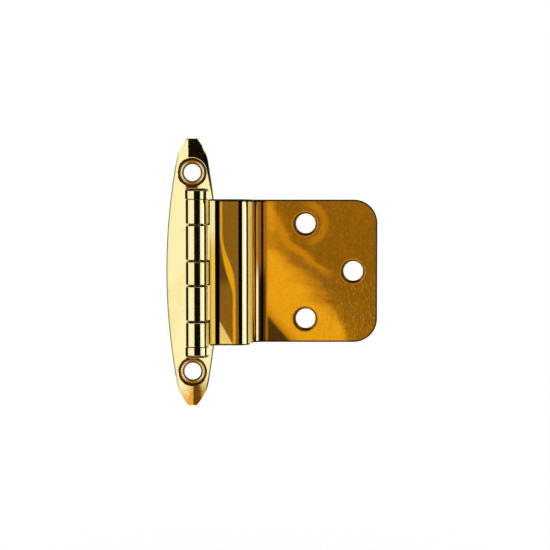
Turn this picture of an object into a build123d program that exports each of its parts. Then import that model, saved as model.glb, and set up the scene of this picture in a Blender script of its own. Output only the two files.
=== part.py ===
from build123d import *
import os
from math import acos, asin, cos, degrees, hypot, radians, tan

# Offset cabinet hinge in solid brass, in millimetres, shown closed.
# X points to the door, Z up along the pin, and the front of the hinge faces -Y.
# The origin is the middle of the frame wing's flat back, on the face of the cabinet frame.

# Frame wing: the boat-shaped plate
wing_length = 69.85
wing_width = 13.6
wing_side_radius = 160.0
wing_edge = 0.9
wing_slope = 20.0
ridge_radius = 4.0
rim_bevel = 0.2
nose_length = 6.2
nose_width = 2.4
nose_corner = 0.5

# Screw seats of the frame wing
frame_screw_spacing = 52.0
frame_screw_hole = 4.4
frame_screw_seat = 7.4
seat_floor = 0.5
seat_cove_width = 0.45
seat_cove_height = 0.5
seat_hole_bevel = 0.25
seat_lip_bevel = 0.2

# Barrel, pin and pin tips
hinge_height = 38.1
axis_offset = 1.5
pin_diameter = 3.3
door_knuckle_length = 9.0
middle_knuckle_length = 6.1
knuckle_gap = 0.25
knuckle_bevel = 0.25
tip_diameter = 6.1
tip_length = 2.7
tip_round = 0.7
tip_socket_depth = 1.6

# Door wing: the cranked leaf of bent sheet
sheet = 1.2
lip_lift = 1.27
wall_offset = 15.1
door_inset = 9.525
leaf_reach = 48.9
leaf_corner = 6.3
leaf_edge_radius = 0.4
notch_room = 0.3
strip_bend_radius = 4.5
lip_bend_radius = 3.0
plate_bend_radius = 4.0

# Screw holes of the door wing, countersunk from the back
door_screw_hole = 5.2
door_screw_margin = 6.4
door_screw_step = 12.7
door_screw_spacing = 25.4
door_hole_round = 0.55
door_sink_depth = 0.5
countersink_angle = 82.0

# Fits
wing_clearance = 0.25
pin_running_fit = 0.05
pin_tight_fit = 0.02
seam_gap = 0.15

# Worked out from the sizes above
slope = radians(wing_slope)
half_width = wing_width / 2
half_length = wing_length / 2
ridge_height = wing_edge + half_width * tan(slope)
pin_radius = pin_diameter / 2
bore_radius = pin_radius + pin_running_fit
barrel_radius = bore_radius + sheet
axis_height = (
    ridge_height - axis_offset * tan(slope) + (wing_clearance + barrel_radius) / cos(slope)
)
notch_x = axis_offset + barrel_radius + notch_room
end_knuckle_length = (
    hinge_height - 2 * door_knuckle_length - middle_knuckle_length - 4 * knuckle_gap
) / 2
door_knuckle_centre = (middle_knuckle_length + door_knuckle_length) / 2 + knuckle_gap
end_knuckle_centre = (hinge_height - end_knuckle_length) / 2
lip_front = lip_lift + sheet
plate_front = lip_front - door_inset


def at(x, height):
    """A point of a cross-section, given by its height in front of the cabinet face."""
    return (x, -height)


def strip_height(x, level):
    """Height of the sloping strip at x, where level 0 is its back and 1 its front."""
    rise = (wing_clearance + level * sheet) / cos(slope)
    return ridge_height - x * tan(slope) + rise


def strip_meets(height, level):
    """Where the sloping strip comes down to the given height."""
    return (strip_height(0, level) - height) / tan(slope)


def wing_outline():
    """Boat outline of the frame wing, on the cabinet face."""
    shoulder = half_length - nose_length
    turn = degrees(asin(shoulder / wing_side_radius))
    side = CenterArc((half_width - wing_side_radius, 0), wing_side_radius, 0, turn)
    nose = TangentArc(side @ 1, (nose_width / 2, half_length), tangent=side % 1)
    end = Line(nose @ 1, (0, half_length))
    quarter = Curve() + [side, nose, end]
    half = quarter + mirror(quarter, Plane.YZ)
    whole = half + mirror(half, Plane.XZ)
    outline = make_face(whole.edges())
    corners = [v for v in outline.vertices() if abs(abs(v.X) - nose_width / 2) < 1e-4]
    return fillet(corners, nose_corner)


def facet_cone():
    """Solid under the right facet: a shallow cone that keeps the wing's side edge level."""
    centre = half_width - wing_side_radius
    section = Polyline(
        at(-half_width, 0),
        at(half_width, 0),
        at(half_width, wing_edge),
        at(-half_width, wing_edge + wing_width * tan(slope)),
        close=True,
    )
    return revolve(make_face(section), Axis((centre, 0, 0), (0, 1, 0)))


def wing_plate():
    """Crowned plate: two facets that meet in a rounded ridge, with a softened rim."""
    outline = Plane.XZ * wing_outline()
    facet = facet_cone()
    plate = extrude(outline, 2 * ridge_height) & facet & mirror(facet, Plane.YZ)
    ridge = [e for e in plate.edges() if abs(e.center().X) < 1e-3 and e.length > half_length]
    plate = fillet(ridge, ridge_radius)
    border = outline.face().outer_wire()
    rim = []
    for edge in plate.edges():
        middle = edge @ 0.5
        above_border = border.distance_to(Vertex(middle.X, 0, middle.Z)) < 1e-3
        flat = abs((edge @ 0).Y) < 1e-6 or abs((edge @ 1).Y) < 1e-6
        if above_border and not flat:
            rim.append(edge)
    return chamfer(rim, rim_bevel)


def screw_seat():
    """Flat-bottomed round seat and hole for one frame screw, cut from the front."""
    hole = frame_screw_hole / 2
    seat = frame_screw_seat / 2
    section = Polyline(
        at(0, 0),
        at(hole, 0),
        at(hole, seat_floor - seat_hole_bevel),
        at(hole + seat_hole_bevel, seat_floor),
        at(seat - seat_cove_width, seat_floor),
        at(seat, seat_floor + seat_cove_height),
        at(seat, ridge_height),
        at(0, ridge_height),
        close=True,
    )
    return revolve(make_face(section), Axis.Y)


def on_seat_lip(edge):
    """Whether an edge of the wing is the lip of a screw seat."""
    middle = edge @ 0.5
    across = hypot(middle.X, abs(middle.Z) - frame_screw_spacing / 2)
    on_wall = abs(across - frame_screw_seat / 2) < 1e-3
    return on_wall and edge.geom_type not in (GeomType.LINE, GeomType.CIRCLE)


def frame_knuckle(length, centre):
    """Cast knuckle on its foot, which runs down into the plate."""
    foot_height = axis_height - wing_edge / 2
    section = Circle(barrel_radius)
    section += Pos(0, foot_height / 2) * Rectangle(2 * barrel_radius, foot_height)
    knuckle = extrude(section, length / 2, both=True)
    ends = knuckle.faces().filter_by(Axis.Z)
    knuckle = chamfer(ends.edges().filter_by(GeomType.CIRCLE), knuckle_bevel)
    return Pos(axis_offset, -axis_height, centre) * knuckle


def frame_wing():
    """Boat-shaped plate with three knuckles, cast in one piece."""
    wing = wing_plate()
    for side in (1, -1):
        wing -= Pos(0, 0, side * frame_screw_spacing / 2) * screw_seat()
    wing = chamfer([edge for edge in wing.edges() if on_seat_lip(edge)], seat_lip_bevel)
    wing += frame_knuckle(middle_knuckle_length, 0)
    for side in (1, -1):
        wing += frame_knuckle(end_knuckle_length, side * end_knuckle_centre)
    bore = Cylinder(pin_radius + pin_tight_fit, hinge_height)
    return wing - Pos(axis_offset, -axis_height) * bore


def door_knuckle(centre):
    """Rolled knuckle: the strip passes behind the pin and curls round it to a seam."""
    start = 90 + wing_slope
    turn = 360 - degrees(acos((bore_radius - seam_gap) / barrel_radius))
    axis = at(axis_offset, axis_height)
    outer = CenterArc(axis, barrel_radius, start, turn)
    inner = CenterArc(axis, bore_radius, start, turn)
    roll = make_face([outer, inner, Line(outer @ 0, inner @ 0), Line(outer @ 1, inner @ 1)])
    lap = notch_x + sheet
    strip = Polyline(
        outer @ 0,
        inner @ 0,
        at(lap, strip_height(lap, 1)),
        at(lap, strip_height(lap, 0)),
        close=True,
    )
    knuckle = extrude(roll + make_face(strip), door_knuckle_length / 2, both=True)
    rounds = knuckle.faces().filter_by(Axis.Z).edges().filter_by(GeomType.CIRCLE)
    outer_rims = [edge for edge in rounds if edge.radius > bore_radius + sheet / 2]
    return Pos(0, 0, centre) * chamfer(outer_rims, knuckle_bevel)


def leaf_line(level):
    """Bent line of the leaf's back (level 0) or front (level 1), from the notch to the end."""
    lip = lip_lift + level * sheet
    wall = wall_offset - (1 - level) * sheet
    plate = plate_front - (1 - level) * sheet
    return FilletPolyline(
        at(notch_x, strip_height(notch_x, level)),
        at(strip_meets(lip, level), lip),
        at(wall, lip),
        at(wall, plate),
        at(leaf_reach, plate),
        radius=[
            strip_bend_radius + (1 - level) * sheet,
            lip_bend_radius - (1 - level) * sheet,
            plate_bend_radius + (1 - level) * sheet,
        ],
    )


def on_front_border(edge, front):
    """Whether an edge of the leaf runs along the border of its front surface."""
    middle = edge @ 0.5
    upright = abs((edge @ 1 - edge @ 0).Z) > edge.length - 1e-6
    inner = upright and middle.X < leaf_reach - 1e-3
    return front.distance_to(Vertex(middle.X, middle.Y, 0)) < 1e-3 and not inner


def cranked_leaf():
    """Sloping strip, lip, wall and screw plate, bent from one sheet with rounded front edges."""
    front = leaf_line(1)
    back = leaf_line(0)
    ends = [Line(front @ 0, back @ 0), Line(front @ 1, back @ 1)]
    section = make_face([*front.edges(), *back.edges(), *ends])
    leaf = extrude(section, hinge_height / 2, both=True)
    outer_end = leaf.faces().sort_by(Axis.X)[-1]
    leaf = fillet(outer_end.edges().filter_by(Axis.Y), leaf_corner)
    border = [edge for edge in leaf.edges() if on_front_border(edge, front)]
    return fillet(border, leaf_edge_radius)


def door_screw_cut():
    """Screw hole through the plate: eased in two bevels at the front, countersunk at the back."""
    hole = door_screw_hole / 2
    sink = hole + door_sink_depth * tan(radians(countersink_angle / 2))
    ease = door_hole_round * (1 - cos(radians(45)))
    section = Polyline(
        (0, 0),
        (hole + door_hole_round, 0),
        (hole + ease, ease),
        (hole, door_hole_round),
        (hole, sheet - door_sink_depth),
        (sink, sheet),
        (0, sheet),
        close=True,
    )
    return revolve(make_face(section), Axis.Y)


def door_wing():
    """Cranked leaf of bent sheet with two rolled knuckles and three screw holes."""
    leaf = cranked_leaf()
    for side in (1, -1):
        leaf += door_knuckle(side * door_knuckle_centre)
    outer_hole = leaf_reach - door_screw_margin
    places = [
        (outer_hole, 0),
        (outer_hole - door_screw_step, door_screw_spacing / 2),
        (outer_hole - door_screw_step, -door_screw_spacing / 2),
    ]
    for x, z in places:
        leaf -= Pos(x, -plate_front, z) * door_screw_cut()
    return leaf


def hinge_pin():
    """Plain pin through all five knuckles and into both tips."""
    length = hinge_height + 2 * tip_socket_depth
    return Pos(axis_offset, -axis_height) * Cylinder(pin_radius, length)


def pin_tip(side):
    """Button pressed on one end of the pin, rounded at its outer edge."""
    button = Cylinder(tip_diameter / 2, tip_length, align=(Align.CENTER, Align.CENTER, Align.MIN))
    top = button.faces().sort_by(Axis.Z)[-1]
    button = fillet(top.edges(), tip_round)
    socket = Cylinder(
        pin_radius + pin_tight_fit, tip_socket_depth, align=(Align.CENTER, Align.CENTER, Align.MIN)
    )
    button -= socket
    if side < 0:
        button = mirror(button, Plane.XY)
    return Pos(axis_offset, -axis_height, side * hinge_height / 2) * button


os.makedirs("parts", exist_ok=True)
nodes = {
    "frame_wing": frame_wing(),
    "door_wing": door_wing(),
    "hinge_pin": hinge_pin(),
    "top_pin_tip": pin_tip(1),
    "bottom_pin_tip": pin_tip(-1),
}
for name, shape in nodes.items():
    export_step(shape, f"parts/{name}.step")
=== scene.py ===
import math
from collections import namedtuple

import bpy
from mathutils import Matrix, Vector


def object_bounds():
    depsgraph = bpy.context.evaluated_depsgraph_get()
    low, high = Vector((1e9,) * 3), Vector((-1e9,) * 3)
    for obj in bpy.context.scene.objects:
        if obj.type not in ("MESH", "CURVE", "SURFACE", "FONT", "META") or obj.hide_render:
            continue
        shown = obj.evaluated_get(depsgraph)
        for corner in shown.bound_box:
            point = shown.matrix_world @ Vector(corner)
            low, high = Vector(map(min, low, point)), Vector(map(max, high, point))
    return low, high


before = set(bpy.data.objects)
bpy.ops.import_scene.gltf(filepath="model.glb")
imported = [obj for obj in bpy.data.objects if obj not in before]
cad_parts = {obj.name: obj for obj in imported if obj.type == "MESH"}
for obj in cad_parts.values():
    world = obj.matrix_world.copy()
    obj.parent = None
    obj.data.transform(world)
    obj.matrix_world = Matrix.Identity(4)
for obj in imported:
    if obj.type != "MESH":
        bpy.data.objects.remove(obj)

cad_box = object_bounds()
MM = 0.001
MM_PER_METRE = 1000.0

# Camera: in front of the hinge and a little above it
FRAME_WIDTH = 144.0 * MM
CAMERA_DISTANCE = 345.0 * MM
CAMERA_ELEVATION = math.radians(2.6)
CAMERA_AIM = Vector((21.56, 0.0, -0.75)) * MM
SENSOR = 36.0

# Brass, as linear colour
# painted highlight beside the barrel
PALE_HIGHLIGHT = (1.00, 0.94, 0.66, 1.0)
PALE = (0.98, 0.875, 0.44, 1.0)
GOLD = (0.90, 0.62, 0.14, 1.0)
AMBER = (1.00, 0.48, 0.012, 1.0)
HONEY = (0.71, 0.285, 0.006, 1.0)
TAN = (0.355, 0.143, 0.003, 1.0)
OLIVE = (0.33, 0.155, 0.012, 1.0)
# painted highlight on the screw seats' floors
COPPER_HIGHLIGHT = (1.00, 0.80, 0.36, 1.0)
BROWN = (0.45, 0.18, 0.015, 1.0)
# painted highlight on the barrel's right side and on the lip's lower corner
BUTTER_HIGHLIGHT = (1.00, 0.76, 0.20, 1.0)
CITRON = (1.00, 0.86, 0.30, 1.0)
SUNNY = (0.90, 0.55, 0.07, 1.0)
STRAW = (0.48, 0.38, 0.20, 1.0)
OCHRE = (0.52, 0.35, 0.04, 1.0)
RUSSET = (0.24, 0.10, 0.012, 1.0)
UMBER = (0.11, 0.045, 0.007, 1.0)
# Near black: painted shade on the rims, in the last bend and on the left sides, and also the dark seams and
# crevices
SHADE_AND_GRIME = (0.025, 0.014, 0.005, 1.0)

# Places on the hinge in millimetres: x and z from the middle of the frame wing, y from its back
SEAM_HEIGHTS = (3.175, 12.425)
SEAT_HEIGHT = 26.0
WING_SIDE_RADIUS = 160.0
WING_SIDE_OFFSET = 153.2
UPPER_HOLE = (29.8, 7.1, 12.7)
LOWER_HOLE = (29.8, 7.1, -12.7)
OUTER_HOLE = (42.5, 7.1, 0.0)
LEAF_CORNER_X = 42.6
LEAF_CORNER_Z = 12.75

# Shift of the painted shade rims at the leaf's holes, to the left and down, in millimetres
RIM_SHIFT = (-0.2, 0.0, -0.15)

# How far a round piece faces left where the painted shade on its left side is full, and where that shade
# ends
LEFT_SHADE = (-0.93, -0.86)

# Surface of the brass
CREVICE_REACH = 0.6 * MM
SCRATCH_DEPTH = 0.0006 * MM

# Colours across the leaf from the barrel to the screw plate, by x in millimetres; the narrow dark and pale
# bands at the bends are painted reflections and highlights
LEAF_BANDS = (
    (3.9, PALE), (4.3, SUNNY), (4.5, SUNNY), (4.65, OCHRE), (4.9, OCHRE), (5.15, SUNNY), (6.1, SUNNY),
    (6.35, UMBER), (7.0, UMBER), (7.3, OLIVE), (12.0, OLIVE), (12.3, UMBER), (12.9, UMBER),
    (13.1, PALE), (14.0, PALE), (14.15, UMBER), (14.4, UMBER), (14.6, CITRON), (15.4, CITRON),
    (15.6, OCHRE), (16.3, OCHRE), (16.6, STRAW), (17.1, STRAW), (17.3, SHADE_AND_GRIME), (18.2, SHADE_AND_GRIME),
    (18.6, UMBER), (18.9, UMBER), (19.5, HONEY), (20.5, HONEY),
)

# Colours across the screw plate, by millimetres past the slanted line where the amber begins to turn:
# partly the brass's tone and partly a painted sheen
PLATE_BANDS = (
    (-6.0, AMBER), (-1.5, AMBER), (2.5, HONEY), (4.5, HONEY), (8.5, TAN), (20.0, TAN),
)

# Studio: sizes in metres, and what the cards glow with as linear colour
WHITE = (1.0, 1.0, 1.0, 1.0)
CARD_RADIUS = 0.8
LOW_RADIUS = 0.2
CARD_GAP = 0.02
LOW_CARD_GAP = 0.01
FLOOR_DROP = 65.0 * MM
FLOOR_SIZE = 6.0
LOW_GOLD = (0.80, 0.43, 0.12, 1.0)
LOW_AMBER = (0.58, 0.34, 0.08, 1.0)
LOW_BROWN = (0.15, 0.06, 0.012, 1.0)
FLAG_BLACK = (0.006, 0.005, 0.004, 1.0)
FLAG_DIM = (0.09, 0.07, 0.045, 1.0)
FILL = (5.0, 5.0, 5.0, 1.0)
FILL_RIGHT = (2.2, 2.2, 2.2, 1.0)


# A point of a node: its place in metres, its x, y and z in millimetres, and how far it faces right and back
Spot = namedtuple("Spot", "place x y z right back")


class Tree:
    """Short calls for building one node tree."""

    def __init__(self, tree):
        self.tree = tree
        tree.nodes.clear()

    def node(self, kind, inputs=None, **settings):
        made = self.tree.nodes.new(kind)
        for name, value in settings.items():
            setattr(made, name, value)
        for name, value in (inputs or {}).items():
            self.put(made.inputs[name], value)
        return made

    def put(self, socket, value):
        if isinstance(value, bpy.types.NodeSocket):
            self.tree.links.new(value, socket)
        else:
            socket.default_value = value

    def math(self, operation, first, second=0.0):
        made = self.node("ShaderNodeMath", {0: first, 1: second}, operation=operation)
        return made.outputs[0]

    def plus(self, first, second):
        return self.math("ADD", first, second)

    def minus(self, first, second):
        return self.math("SUBTRACT", first, second)

    def both(self, first, second):
        """Product of two values: where both of two masks are."""
        return self.math("MULTIPLY", first, second)

    def either(self, first, second):
        """Larger of two values: where either of two masks is."""
        return self.math("MAXIMUM", first, second)

    def size(self, value):
        """The value without its sign."""
        return self.math("ABSOLUTE", value)

    def reach(self, across, along):
        """Straight length of a way across and a way along."""
        return self.math("SQRT", self.plus(self.both(across, across), self.both(along, along)))

    def ramp(self, value, low, high):
        """Rises smoothly from 0 at low to 1 at high."""
        limits = {"Value": value, "From Min": low, "From Max": high}
        made = self.node("ShaderNodeMapRange", limits, interpolation_type="SMOOTHSTEP")
        return made.outputs["Result"]

    def fade(self, value, low, high):
        """Falls smoothly from 1 at low to 0 at high."""
        return self.minus(1.0, self.ramp(value, low, high))

    def within(self, value, rise, fall):
        """Rises from 0 to 1 over the first pair of values and falls back over the second."""
        return self.both(self.ramp(value, *rise), self.fade(value, *fall))

    def mix(self, factor, first, second):
        made = self.node("ShaderNodeMix", {0: factor, 6: first, 7: second}, data_type="RGBA")
        return made.outputs[2]

    def tint(self, colour, tone, mask, strength=1.0):
        """Lays a tone over a colour where the mask is."""
        return self.mix(self.both(mask, strength), colour, tone)

    def noise(self, vector, scale, detail=2.0, roughness=0.5, distortion=0.0):
        look = {"Vector": vector, "Scale": scale, "Detail": detail, "Roughness": roughness,
                "Distortion": distortion}
        return self.node("ShaderNodeTexNoise", look).outputs["Fac"]

    def stretched(self, vector, scale):
        return self.node("ShaderNodeMapping", {"Vector": vector, "Scale": scale}).outputs["Vector"]

    def distance(self, place, point):
        """Millimetres from a point that is given in millimetres."""
        ends = {0: place, 1: [value * MM for value in point]}
        made = self.node("ShaderNodeVectorMath", ends, operation="DISTANCE")
        return self.both(made.outputs["Value"], MM_PER_METRE)

    def plane(self, spot, across, along, offset):
        """Signed distance across * x + along * z - offset, in millimetres."""
        return self.minus(self.plus(self.both(spot.x, across), self.both(spot.z, along)), offset)

    def bands(self, value, stops):
        """Colour that changes along a value: stops are (value, colour)."""
        low, high = stops[0][0], stops[-1][0]
        spread = self.node("ShaderNodeMapRange", {"Value": value, "From Min": low, "From Max": high})
        made = self.node("ShaderNodeValToRGB", {"Fac": spread.outputs["Result"]})
        elements = made.color_ramp.elements
        while len(elements) < len(stops):
            elements.new(0.5)
        for element, (place, colour) in zip(elements, stops):
            element.position = (place - low) / (high - low)
            element.color = colour
        return made.outputs["Color"]


def new_material(name):
    material = bpy.data.materials.new(name)
    material.use_nodes = True
    return material, Tree(material.node_tree)


def pale_brass(tree, spot):
    """Pale brass, a little clouded with gold."""
    return tree.tint(PALE, GOLD, tree.ramp(tree.noise(spot.place, 60.0, 3.0), 0.5, 1.0))


def reverse_brass(tree, spot):
    """Back of a wing: plain brass, a little clouded."""
    return tree.mix(tree.noise(spot.place, 90.0, 4.0, 0.6), GOLD, HONEY)


def mark_barrel(tree, spot, colour):
    """Darkens the barrel's seams, and paints shade on its left side and a highlight on its right side.
    Gives the colour and the mask of its satin right side.
    """
    barrel = tree.fade(spot.y, -4.6, -4.2)
    # painted shade on the left side, joined by the dark seams
    dark = tree.fade(spot.right, *LEFT_SHADE)
    for height in SEAM_HEIGHTS:
        from_seam = tree.size(tree.minus(tree.size(spot.z), height))
        dark = tree.either(dark, tree.fade(from_seam, 0.25, 0.4))
    # painted highlight on the right side
    lit_right_side = tree.both(tree.ramp(spot.right, 0.82, 0.9), barrel)
    colour = tree.tint(colour, BUTTER_HIGHLIGHT, lit_right_side)
    return tree.tint(colour, SHADE_AND_GRIME, tree.both(dark, barrel)), lit_right_side


def pin_colour(tree, spot):
    """Drawn brass: pale all over, with no satin."""
    return pale_brass(tree, spot), 0.0


def tip_colour(tree, spot):
    """Turned brass: pale, with painted shade on its rounded edge and on its left side."""
    outward = tree.plus(tree.both(spot.right, spot.right), tree.both(spot.back, spot.back))
    edge = tree.both(tree.ramp(tree.size(spot.z), 20.85, 21.15), tree.ramp(outward, 0.1, 0.4))
    dark = tree.either(edge, tree.fade(spot.right, *LEFT_SHADE))
    return tree.tint(pale_brass(tree, spot), UMBER, dark), 0.0


def screw_seat(tree, spot, up):
    """Mask and colour of the screw seats: painted shade at both rims, with a floor that has painted
    highlights at its sides.
    """
    reach = tree.reach(spot.x, up)
    sideways = tree.math("DIVIDE", tree.size(spot.x), reach)
    # painted highlights at the floor's left and right
    floor = tree.mix(tree.ramp(sideways, 0.2, 0.9), BROWN, COPPER_HIGHLIGHT)
    on_floor = tree.within(reach, (2.5, 2.75), (3.0, 3.2))
    in_seat = tree.both(tree.fade(reach, 3.7, 3.85), tree.fade(spot.y, -0.4, -0.2))
    return in_seat, tree.mix(on_floor, UMBER, floor)


def wing_rim(tree, spot):
    """Mask of the painted shade line along the wing's sides: stronger on the right and wider at the upper
    right.
    """
    from_centre = tree.reach(tree.plus(tree.size(spot.x), WING_SIDE_OFFSET), spot.z)
    upper_right = tree.both(tree.ramp(spot.x, 0.0, 1.0), tree.within(spot.z, (17.0, 27.0), (30.0, 31.0)))
    inset = tree.minus(tree.minus(WING_SIDE_RADIUS, from_centre), tree.both(upper_right, 0.4))
    rim = tree.both(tree.fade(inset, 0.25, 0.45), tree.fade(spot.back, -0.6, -0.3))
    return tree.both(rim, tree.plus(tree.both(tree.ramp(spot.x, -1.0, 1.0), 0.5), 0.5))


def wing_colour(tree, spot):
    """Cast brass: pale and polished, with satin screw seats, painted shade at its rims and between its
    seats and tips, and a plain satin back.
    """
    up = tree.minus(tree.size(spot.z), SEAT_HEIGHT)
    # painted shadow between each pin tip and its screw seat
    tip_shadow = tree.both(tree.fade(tree.size(spot.x), 1.2, 2.0), tree.within(up, (-5.6, -5.2), (-3.6, -3.4)))
    colour = tree.tint(pale_brass(tree, spot), UMBER, tip_shadow)
    colour = tree.tint(colour, SHADE_AND_GRIME, wing_rim(tree, spot))
    in_seat, seat = screw_seat(tree, spot, up)
    colour, lit_right_side = mark_barrel(tree, spot, tree.mix(in_seat, colour, seat))
    behind = tree.ramp(spot.back, 0.5, 0.8)
    satin = tree.plus(tree.both(in_seat, 0.35), tree.both(behind, 0.3))
    satin = tree.plus(satin, tree.both(lit_right_side, 0.8))
    return tree.mix(behind, colour, reverse_brass(tree, spot)), satin


def strip_colour(tree, spot):
    """Leaf in bands of colour, with painted reflections in the bends and painted highlights beside the
    barrel and at the top of the strip there.
    """
    colour = tree.bands(spot.x, LEAF_BANDS)
    # painted highlight beside the barrel
    beside = tree.both(tree.ramp(spot.y, -5.0, -4.0), tree.fade(spot.x, 4.3, 4.6))
    colour = tree.tint(colour, PALE_HIGHLIGHT, beside)
    # painted highlight at the top of the strip
    strip_top_highlight = tree.both(tree.fade(spot.x, 6.1, 6.3), tree.ramp(spot.z, 5.0, 13.0))
    return tree.tint(colour, PALE, strip_top_highlight, 0.8)


def tone_crank(tree, spot, colour):
    """Browns the upper half of the crank's last bend and of its foot."""
    upper = tree.ramp(spot.z, -4.0, 4.0)
    bend = tree.within(spot.x, (16.3, 16.6), (17.9, 18.2))
    colour = tree.tint(colour, RUSSET, tree.both(bend, upper))
    foot = tree.within(spot.x, (17.9, 18.2), (19.0, 19.6))
    return tree.tint(colour, BROWN, tree.both(foot, upper))


def tone_lip(tree, spot, colour, on_lip, speckle):
    """Gives the lip its grain, a painted reflection in the amber line that winds down it, painted shade
    beside that line and a painted highlight on its lower corner.
    """
    line = tree.node("ShaderNodeMapRange", {
        "Value": spot.z, "From Min": 11.0, "From Max": -7.0, "To Min": 7.5, "To Max": 10.95,
    }, interpolation_type="SMOOTHSTEP")
    past_line = tree.minus(spot.x, line.outputs["Result"])
    swell = tree.fade(tree.size(tree.minus(spot.z, 0.5)), 0.5, 6.5)
    # painted reflection: the amber line
    reflected_line = tree.fade(tree.minus(tree.size(past_line), tree.both(swell, 0.5)), 0.1, 0.6)
    grain = tree.ramp(tree.noise(spot.place, 2600.0, 3.0, 0.6), 0.42, 0.62)
    colour = tree.tint(colour, RUSSET, tree.both(on_lip, grain), 0.3)
    colour = tree.tint(colour, AMBER, tree.both(on_lip, reflected_line))
    colour = tree.tint(colour, HONEY, tree.both(on_lip, speckle), 0.12)
    # painted shade beside the line
    shade = tree.both(tree.within(spot.z, (-4.0, -1.0), (4.0, 8.0)), tree.fade(past_line, -1.3, -0.7))
    colour = tree.tint(colour, UMBER, tree.both(on_lip, shade), 0.75)
    # painted highlight on the lower corner
    corner = tree.ramp(tree.plane(spot, -0.87, -0.49, -0.25), 0.0, 0.5)
    return tree.tint(colour, BUTTER_HIGHLIGHT, tree.both(on_lip, corner))


def plate_waver(tree, spot):
    """Slanted noise about 0, which makes the plate's streaks waver."""
    turned = tree.node("ShaderNodeMapping", {
        "Vector": spot.place, "Rotation": (0.0, math.radians(40.0), 0.0), "Scale": (35.0, 35.0, 200.0),
    })
    return tree.minus(tree.noise(turned.outputs["Vector"], 1.0, 3.0, 0.55, 0.4), 0.5)


def streak(tree, spot, line, waver, edge):
    """Mask of a wavering streak of painted reflection along a slanted line, which is given as for a plane.
    """
    return tree.fade(tree.size(tree.plus(tree.plane(spot, *line), waver)), *edge)


def plate_colour(tree, spot, waver, speckle):
    """Screw plate: amber at its lower left, turning to honey and a mottled tan in slanted streaks, partly
    the brass's tone and partly a painted sheen, with two painted honey reflections and painted amber sheen
    at the upper left.
    """
    # partly the brass's tone and partly a painted sheen across the plate
    side = tree.plus(tree.plane(spot, 0.72, 0.69, 18.4), tree.both(waver, 12.0))
    colour = tree.bands(side, PLATE_BANDS)
    past_edge = tree.plus(tree.plane(spot, 0.896, 0.445, 28.3), tree.both(waver, 4.0))
    tan_sheen = tree.both(tree.ramp(past_edge, -0.4, 1.4), tree.fade(spot.z, -4.5, 0.0))
    colour = tree.tint(colour, TAN, tan_sheen, 0.8)
    mottle = tree.ramp(tree.noise(spot.place, 450.0, 4.0, 0.7, 0.6), 0.42, 0.66)
    colour = tree.tint(colour, RUSSET, tree.both(mottle, tree.ramp(side, -1.0, 5.0)), 0.45)
    colour = tree.tint(colour, HONEY, speckle, 0.3)
    flecks = tree.noise(tree.stretched(spot.place, (2600.0, 2600.0, 1100.0)), 1.0, 2.0)
    colour = tree.tint(colour, SUNNY, tree.both(tan_sheen, tree.ramp(flecks, 0.56, 0.68)), 0.3)

    # two painted reflections in honey
    gentle = tree.both(waver, 5.0)
    long_reflection = streak(tree, spot, (0.679, 0.734, 23.1), gentle, (0.3, 1.7))
    long_reflection = tree.both(long_reflection, tree.within(spot.x, (22.0, 26.0), (33.5, 37.5)))
    colour = tree.tint(colour, HONEY, long_reflection)
    short_reflection = streak(tree, spot, (0.8, 0.6, 25.3), gentle, (0.3, 1.7))
    colour = tree.tint(colour, HONEY, tree.both(short_reflection, tree.fade(spot.x, 25.0, 27.0)))
    # painted sheen in amber at the upper left
    upper_left = tree.both(tree.fade(spot.x, 20.6, 22.4), tree.ramp(spot.z, 9.5, 11.5))
    return tree.tint(colour, AMBER, upper_left, 0.45)


def mark_plate(tree, spot, colour, waver, on_plate):
    """Adds the plate's painted dark reflection streak, the swirl at its upper hole, its dark corner and
    painted shade rims with painted highlights round its holes.
    """
    # painted dark reflection streak
    dark_reflection = streak(tree, spot, (0.564, 0.826, 17.75), tree.both(waver, 3.0), (0.1, 2.4))
    dark_reflection = tree.both(dark_reflection, tree.within(spot.x, (21.0, 27.0), (35.0, 41.0)))
    colour = tree.tint(colour, RUSSET, dark_reflection, 0.55)
    from_ring = tree.size(tree.minus(tree.distance(spot.place, UPPER_HOLE), 5.0))
    swirl = tree.both(tree.fade(from_ring, 0.3, 1.6), tree.ramp(spot.x, 29.0, 32.0))
    colour = tree.tint(colour, HONEY, tree.both(on_plate, swirl), 0.6)
    from_corner = tree.plane(spot, 0.75, 0.66, 5.9)
    colour = tree.tint(colour, HONEY, tree.both(on_plate, tree.fade(from_corner, 1.0, 3.8)), 0.8)
    colour = tree.tint(colour, UMBER, tree.both(on_plate, tree.fade(from_corner, 0.3, 1.6)))
    # painted shade ring round each hole, with a painted highlight ring just outside it
    for hole in (UPPER_HOLE, LOWER_HOLE, OUTER_HOLE):
        middle = [place + shift for place, shift in zip(hole, RIM_SHIFT)]
        from_middle = tree.distance(spot.place, middle)
        colour = tree.tint(colour, HONEY, tree.fade(from_middle, 3.35, 3.6))
        colour = tree.tint(colour, UMBER, tree.fade(from_middle, 3.1, 3.4))
    return colour


def leaf_rim(tree, spot):
    """Mask of the painted shade line round the screw plate, seen from the front, and of the painted shadow
    along the crank's top edge.
    """
    past_end = tree.either(tree.minus(spot.x, LEAF_CORNER_X), 0.0)
    past_side = tree.either(tree.minus(tree.size(spot.z), LEAF_CORNER_Z), 0.0)
    rim = tree.ramp(tree.reach(past_end, past_side), 5.75, 6.0)
    top_edge = tree.both(tree.ramp(spot.z, 18.3, 18.5), tree.within(spot.x, (5.9, 6.3), (18.6, 19.4)))
    return tree.either(tree.both(rim, tree.fade(spot.back, -0.35, -0.15)), top_edge)


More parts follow.
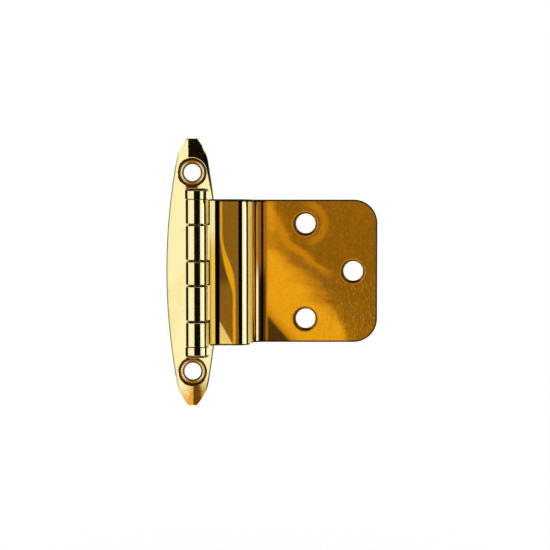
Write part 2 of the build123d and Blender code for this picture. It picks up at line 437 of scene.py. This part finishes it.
def leaf_colour(tree, spot):
    """Sheet brass: polished bends, a satin olive lip, a satin screw plate and a plain satin back."""
    on_lip = tree.within(spot.x, (6.9, 7.4), (11.9, 12.3))
    on_plate = tree.ramp(spot.x, 19.0, 20.0)
    speckle = tree.ramp(tree.noise(spot.place, 1600.0, 3.0, 0.7), 0.48, 0.68)
    waver = plate_waver(tree, spot)
    colour, lit_right_side = mark_barrel(tree, spot, strip_colour(tree, spot))
    colour = tone_crank(tree, spot, colour)
    colour = tone_lip(tree, spot, colour, on_lip, speckle)
    colour = tree.mix(on_plate, colour, plate_colour(tree, spot, waver, speckle))
    colour = mark_plate(tree, spot, colour, waver, on_plate)
    colour = tree.tint(colour, SHADE_AND_GRIME, leaf_rim(tree, spot))

    on_wall = tree.within(spot.x, (14.4, 14.7), (15.4, 15.8))
    plate_front = tree.both(tree.ramp(spot.x, 18.2, 18.8), tree.fade(spot.back, -0.98, -0.9))
    satin = tree.plus(tree.both(on_lip, 0.36), tree.both(plate_front, 0.5))
    satin = tree.plus(satin, tree.both(tree.either(on_wall, lit_right_side), 0.8))
    faces_back = tree.ramp(tree.minus(spot.back, spot.right), 0.3, 0.7)
    behind = tree.both(faces_back, tree.ramp(spot.x, 5.0, 6.0))
    satin = tree.plus(tree.both(satin, tree.minus(1.0, behind)), tree.both(behind, 0.3))
    return tree.mix(behind, colour, reverse_brass(tree, spot)), satin


def polished_brass(name, paint, grain, waviness, roughness):
    """Brass with polishing lines and faint waves.

    paint gives its colour and its satin, which adds to the roughness. grain is the scale of the lines on
    each axis, and waviness the height of the waves.
    """
    material, tree = new_material(name)
    whereabouts = tree.node("ShaderNodeTexCoord")
    place, normal = whereabouts.outputs["Object"], whereabouts.outputs["Normal"]
    axes = tree.node("ShaderNodeSeparateXYZ", {"Vector": place})
    x, y, z = [tree.both(axes.outputs[axis], MM_PER_METRE) for axis in "XYZ"]
    faces = tree.node("ShaderNodeSeparateXYZ", {"Vector": normal})
    colour, satin = paint(tree, Spot(place, x, y, z, faces.outputs["X"], faces.outputs["Y"]))

    lines = tree.noise(tree.stretched(place, grain), 1.0, 3.0, 0.6)
    worn = tree.both(tree.ramp(lines, 0.5, 0.75), tree.ramp(x, 28.0, 38.0))
    colour = tree.tint(colour, UMBER, worn, 0.2)
    specks = tree.ramp(tree.noise(place, 1500.0, 2.0), 0.66, 0.74)
    colour = tree.tint(colour, BROWN, specks, 0.3)
    # Darker and rougher in crevices, where other surfaces come within CREVICE_REACH
    crevice = tree.node("ShaderNodeAmbientOcclusion", {"Distance": CREVICE_REACH}, samples=6)
    crevice_dark = tree.fade(crevice.outputs["AO"], 0.25, 0.75)
    colour = tree.tint(colour, SHADE_AND_GRIME, crevice_dark, 0.9)

    cloud = tree.both(tree.noise(place, 300.0, 3.0), 0.03)
    rough = tree.plus(tree.plus(cloud, roughness), tree.both(crevice_dark, 0.25))
    rough = tree.plus(rough, satin)
    waves = tree.node("ShaderNodeBump", {"Height": tree.noise(place, 85.0, 1.0, 0.4), "Distance": waviness})
    scratches = tree.node("ShaderNodeBump", {
        "Height": lines, "Distance": SCRATCH_DEPTH, "Normal": waves.outputs["Normal"],
    })
    shader = tree.node("ShaderNodeBsdfPrincipled", {
        "Base Color": colour, "Metallic": 1.0, "Roughness": rough, "Normal": scratches.outputs["Normal"],
    })
    tree.node("ShaderNodeOutputMaterial", {"Surface": shader.outputs["BSDF"]})
    return material


def dress(node, material):
    """Gives a CAD node its material."""
    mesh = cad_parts[node].data
    mesh.materials.clear()
    mesh.materials.append(material)


def glow(tree, colour):
    """Ends a tree with an even glow."""
    shader = tree.node("ShaderNodeEmission", {"Color": colour, "Strength": 1.0})
    tree.node("ShaderNodeOutputMaterial", {"Surface": shader.outputs["Emission"]})


def even_card(name, colour):
    """Card surface that lights and reflects as one colour."""
    material, tree = new_material(name)
    glow(tree, colour)
    return material


def fading_card(name, colour):
    """Card surface of one colour that fades to white at its upper edge."""
    material, tree = new_material(name)
    place = tree.node("ShaderNodeTexCoord").outputs["Generated"]
    height = tree.node("ShaderNodeSeparateXYZ", {"Vector": place}).outputs["Z"]
    glow(tree, tree.bands(height, [(0.0, colour), (0.78, colour), (1.0, WHITE)]))
    return material


def stage_object(name, points, faces, material):
    """Adds a mesh to the studio that isn't part of the hinge."""
    mesh = bpy.data.meshes.new(name)
    mesh.from_pydata(points, [], faces)
    mesh.materials.append(material)
    made = bpy.data.objects.new(name, mesh)
    bpy.context.scene.collection.objects.link(made)
    return made


def card(name, azimuths, elevations, material, radius=CARD_RADIUS):
    """Curved studio card round the hinge. Azimuth 0 is towards the camera, positive to the right."""
    columns, rows = 24, 12
    points = []
    for i in range(columns + 1):
        azimuth = math.radians(azimuths[0] + (azimuths[1] - azimuths[0]) * i / columns)
        for j in range(rows + 1):
            elevation = math.radians(elevations[0] + (elevations[1] - elevations[0]) * j / rows)
            flat = radius * math.cos(elevation)
            points.append((
                CAMERA_AIM.x + flat * math.sin(azimuth),
                -flat * math.cos(azimuth),
                CAMERA_AIM.z + radius * math.sin(elevation),
            ))
    faces = []
    for i in range(columns):
        for j in range(rows):
            first = i * (rows + 1) + j
            faces.append((first, first + 1, first + rows + 2, first + rows + 1))
    made = stage_object(name, points, faces, material)
    made.visible_camera = False
    made.visible_diffuse = False
    made.visible_shadow = False


def studio_cards():
    """Black cards that draw the dark bands in the brass, bright ones for its satin and warm ones below."""
    black = even_card("flag_black", FLAG_BLACK)
    card("dark_front", (-27, 35), (-10.3, 5.3), black)
    card("dark_nose", (-33, 62), (10.2, 17.0), black)
    card("dark_right", (65, 88), (1.8, 9.5), black)
    card("flag_left", (-165, -96), (-16, 12), black)
    card("flag_right", (79, 108), (-16, 12), black)
    dim = even_card("flag_dim", FLAG_DIM)
    card("dark_top", (-118, 118), (30, 68), dim)
    card("dark_back", (118, 242), (45, 68), dim)
    fill = even_card("fill", FILL)
    card("fill_high", (-30, 30), (18, 29), fill)
    card("fill_low", (-30, 27), (-18.5, -11.5), fill)
    card("fill_right", (62, 85), (-25, 25), even_card("fill_right", FILL_RIGHT), CARD_RADIUS + CARD_GAP)
    card("gold_low_left", (-60, -8), (-34, -20.8), fading_card("gold_low", LOW_GOLD), LOW_RADIUS)
    card("amber_low_right", (-8, 65), (-34, -21.5), fading_card("amber_low", LOW_AMBER), LOW_RADIUS)
    card("brown_low", (-4, 31), (-34, -23), even_card("brown_low", LOW_BROWN), LOW_RADIUS - LOW_CARD_GAP)


def pale_floor():
    """White floor below the hinge, which keeps a soft shadow and isn't mirrored in the brass."""
    material, tree = new_material("floor_white")
    matt = tree.node("ShaderNodeBsdfDiffuse", {"Color": WHITE})
    shine = tree.node("ShaderNodeEmission", {"Color": WHITE, "Strength": 1.0})
    mixed = tree.node("ShaderNodeMixShader", {
        "Fac": 0.5, 1: matt.outputs["BSDF"], 2: shine.outputs["Emission"],
    })
    tree.node("ShaderNodeOutputMaterial", {"Surface": mixed.outputs["Shader"]})
    low = cad_box[0][2] - FLOOR_DROP
    half = FLOOR_SIZE / 2
    corners = [(-half, -half, low), (half, -half, low), (half, half, low), (-half, half, low)]
    floor = stage_object("floor", corners, [(0, 1, 2, 3)], material)
    floor.visible_glossy = False


def white_world():
    """Even white light from all round."""
    world = bpy.data.worlds.new("white_studio")
    bpy.context.scene.world = world
    world.use_nodes = True
    tree = Tree(world.node_tree)
    sky = tree.node("ShaderNodeBackground", {"Color": WHITE, "Strength": 1.0})
    tree.node("ShaderNodeOutputWorld", {"Surface": sky.outputs["Background"]})


def photo_camera():
    """Camera at the photo's angle and scale."""
    data = bpy.data.cameras.new("camera")
    data.sensor_width = SENSOR
    data.lens = SENSOR * CAMERA_DISTANCE / FRAME_WIDTH
    data.clip_start = 0.01
    camera = bpy.data.objects.new("camera", data)
    bpy.context.scene.collection.objects.link(camera)
    away = Vector((0.0, -math.cos(CAMERA_ELEVATION), math.sin(CAMERA_ELEVATION)))
    camera.location = CAMERA_AIM + CAMERA_DISTANCE * away
    camera.rotation_euler = (-away).to_track_quat("-Z", "Y").to_euler()
    bpy.context.scene.camera = camera


bpy.context.scene.view_settings.view_transform = "Standard"

cast_brass = polished_brass(
    "polished_cast_brass", wing_colour, grain=(400.0, 400.0, 60.0), waviness=0.010 * MM, roughness=0.02)
leaf_brass = polished_brass(
    "polished_sheet_brass", leaf_colour, grain=(1400.0, 1400.0, 120.0), waviness=0.012 * MM, roughness=0.04)
tip_brass = polished_brass(
    "turned_brass", tip_colour, grain=(60.0, 60.0, 2500.0), waviness=0.002 * MM, roughness=0.03)
pin_brass = polished_brass(
    "drawn_brass", pin_colour, grain=(1500.0, 1500.0, 60.0), waviness=0.002 * MM, roughness=0.15)
dress("frame_wing", cast_brass)
dress("door_wing", leaf_brass)
dress("hinge_pin", pin_brass)
dress("top_pin_tip", tip_brass)
dress("bottom_pin_tip", tip_brass)

white_world()
pale_floor()
studio_cards()
photo_camera()
